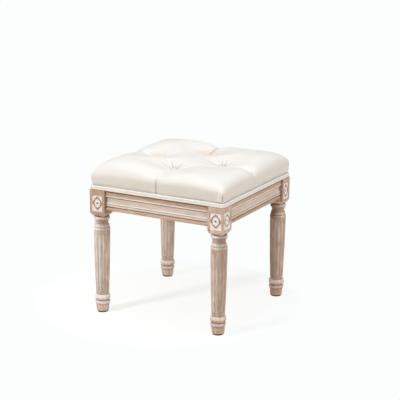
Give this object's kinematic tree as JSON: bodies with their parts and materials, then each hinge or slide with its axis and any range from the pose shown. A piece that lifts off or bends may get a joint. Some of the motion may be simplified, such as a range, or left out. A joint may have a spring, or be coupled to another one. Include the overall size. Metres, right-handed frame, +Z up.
{
  "type": "tufted stool",
  "caption": "Square button-tufted vanity stool: cream padded seat with a double welt on a limed wood frame with moulded aprons and turned, fluted legs.",
  "frame": {"origin": "on the floor under the middle of the stool", "axes": "+Z up, -Y the front, X along the front apron"},
  "size_m": [0.43, 0.43, 0.4571],
  "materials": {
    "limed_wood": "limed oak look, whitewash in the recesses, matt",
    "plain_wood": "bare, sawn",
    "plywood": "bare plywood",
    "cream_cover": "smooth cream leatherette, soft satin sheen",
    "foam": "upholstery foam",
    "twine_thread": "waxed twine",
    "steel": "zinc plated",
    "glide_plastic": "dark nylon"
  },
  "bodies": {
    "root": {"apron_back": "limed_wood", "apron_front": "limed_wood", "apron_left": "limed_wood", "apron_right": "limed_wood", "corner_block_back_left": "plain_wood", "corner_block_back_right": "plain_wood", "corner_block_front_left": "plain_wood", "corner_block_front_right": "plain_wood", "double_welt": "cream_cover", "dowel_back_a_high": "plain_wood", "dowel_back_a_low": "plain_wood", "dowel_back_b_high": "plain_wood", "dowel_back_b_low": "plain_wood", "dowel_front_a_high": "plain_wood", "dowel_front_a_low": "plain_wood", "dowel_front_b_high": "plain_wood", "dowel_front_b_low": "plain_wood", "dowel_left_a_high": "plain_wood", "dowel_left_a_low": "plain_wood", "dowel_left_b_high": "plain_wood", "dowel_left_b_low": "plain_wood", "dowel_right_a_high": "plain_wood", "dowel_right_a_low": "plain_wood", "dowel_right_b_high": "plain_wood", "dowel_right_b_low": "plain_wood", "foam_pad": "foam", "glide_back_left": "glide_plastic", "glide_back_right": "glide_plastic", "glide_front_left": "glide_plastic", "glide_front_right": "glide_plastic", "leg_back_left": "limed_wood", "leg_back_right": "limed_wood", "leg_front_left": "limed_wood", "leg_front_right": "limed_wood", "rail_screw_back_left_a": "steel", "rail_screw_back_left_b": "steel", "rail_screw_back_right_a": "steel", "rail_screw_back_right_b": "steel", "rail_screw_front_left_a": "steel", "rail_screw_front_left_b": "steel", "rail_screw_front_right_a": "steel", "rail_screw_front_right_b": "steel", "seat_board": "plywood", "seat_cover": "cream_cover", "seat_screw_back_left": "steel", "seat_screw_back_right": "steel", "seat_screw_front_left": "steel", "seat_screw_front_right": "steel", "tuft_button_back": "cream_cover", "tuft_button_front": "cream_cover", "tuft_button_left": "cream_cover", "tuft_button_right": "cream_cover", "tuft_twine_back": "twine_thread", "tuft_twine_front": "twine_thread", "tuft_twine_left": "twine_thread", "tuft_twine_right": "twine_thread"}
  },
  "joints": []
}
